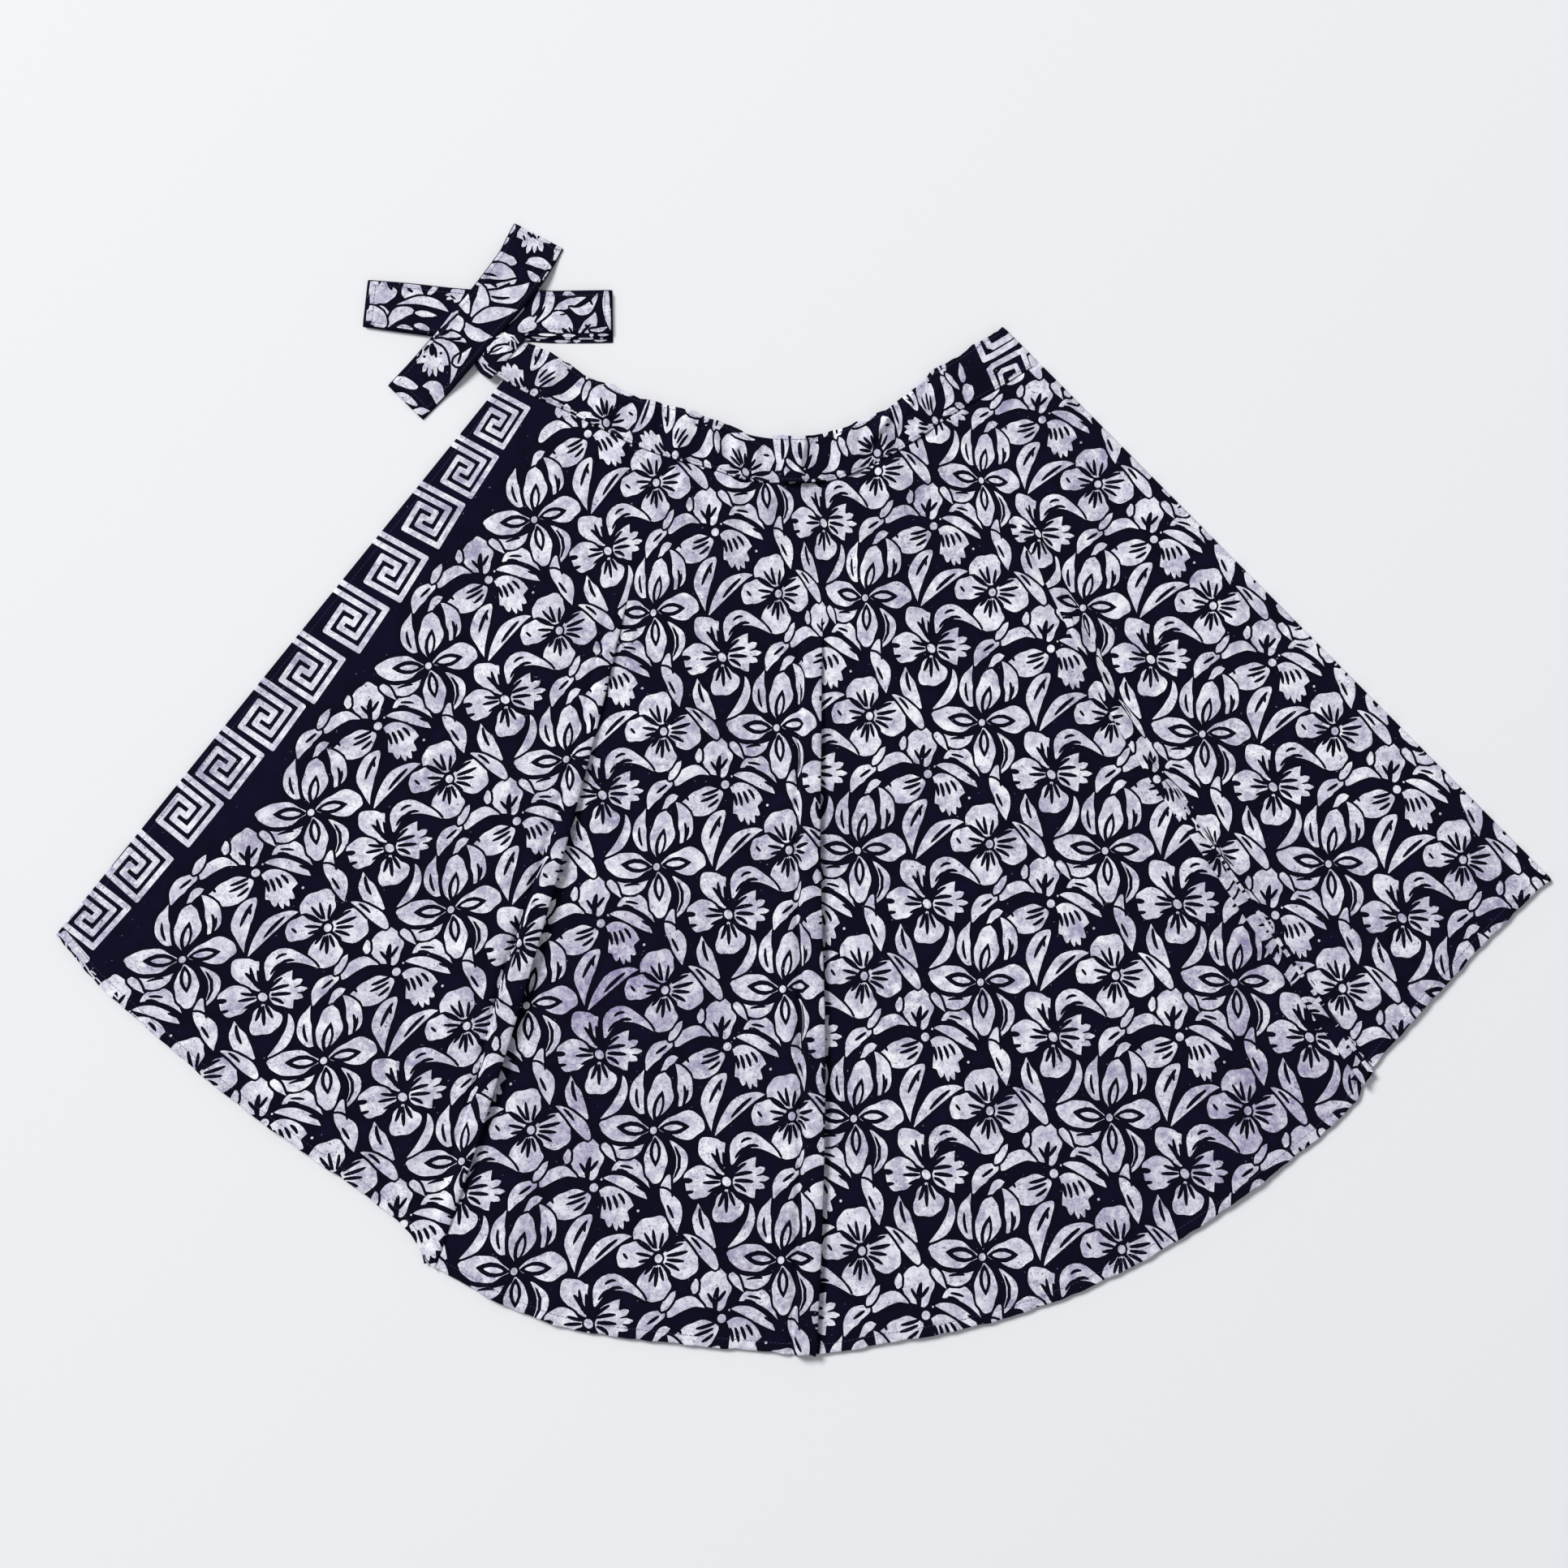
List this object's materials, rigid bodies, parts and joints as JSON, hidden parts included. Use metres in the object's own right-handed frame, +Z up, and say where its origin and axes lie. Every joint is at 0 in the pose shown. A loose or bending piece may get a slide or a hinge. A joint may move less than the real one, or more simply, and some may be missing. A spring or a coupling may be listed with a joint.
{
  "type": "wrap skirt",
  "caption": "Flared cotton wrap skirt laid flat, with a floral wax-resist print, a Greek key border along its free edge and its waist tie folded beside it.",
  "frame": {"origin": "middle of the laid garment's outline, on the surface it lies on", "axes": "+X to the garment's right as seen from above with the waist away from the viewer, +Y from the hem to the waist, +Z up from the surface"},
  "size_m": [1.1048, 0.8364, 0.013],
  "materials": {
    "printed_cotton": "matt navy cotton with a white wax-resist floral print",
    "printed_band": "the same printed cotton, sewn double",
    "printed_tie": "the same printed cotton, in a narrow strap with stitched edges"
  },
  "bodies": {
    "root": {"front_panel": "printed_cotton", "back_panel": "printed_cotton", "under_wrap": "printed_cotton", "waistband_front": "printed_band", "waistband_under": "printed_band", "waistband_back": "printed_band", "tie_root": "printed_tie", "tie_flat": "printed_tie", "tie_cross": "printed_tie"}
  },
  "joints": []
}
